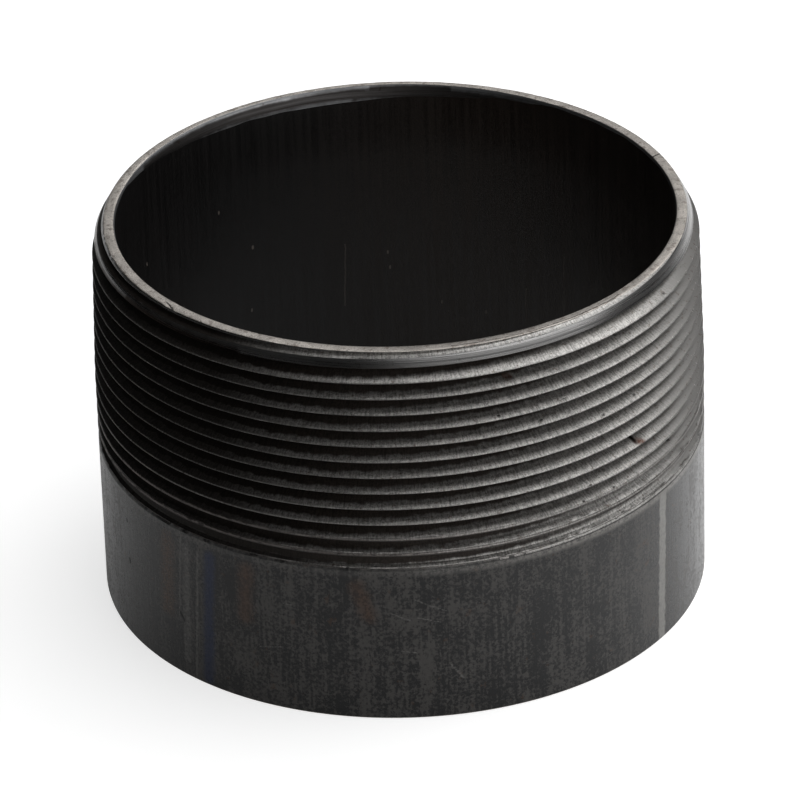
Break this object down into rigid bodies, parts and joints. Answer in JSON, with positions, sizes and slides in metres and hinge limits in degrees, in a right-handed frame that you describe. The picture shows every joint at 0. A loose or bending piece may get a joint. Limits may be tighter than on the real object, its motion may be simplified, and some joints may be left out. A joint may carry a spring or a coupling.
{
  "type": "threaded weld adapter",
  "caption": "Short black steel pipe adapter, with a tapered outside pipe thread at the top and a plain end for welding below.",
  "frame": {"origin": "centre of the plain weld end's face, which the adapter stands on", "axes": "+Z along the pipe's axis, towards the threaded end; +X and +Y square to it"},
  "size_m": [0.1142, 0.1142, 0.075],
  "materials": {
    "black_steel": "black mill scale on the pipe and in the bore, bare cut steel on the thread and the end faces"
  },
  "bodies": {
    "root": {"adapter_body": "black_steel"}
  },
  "joints": []
}
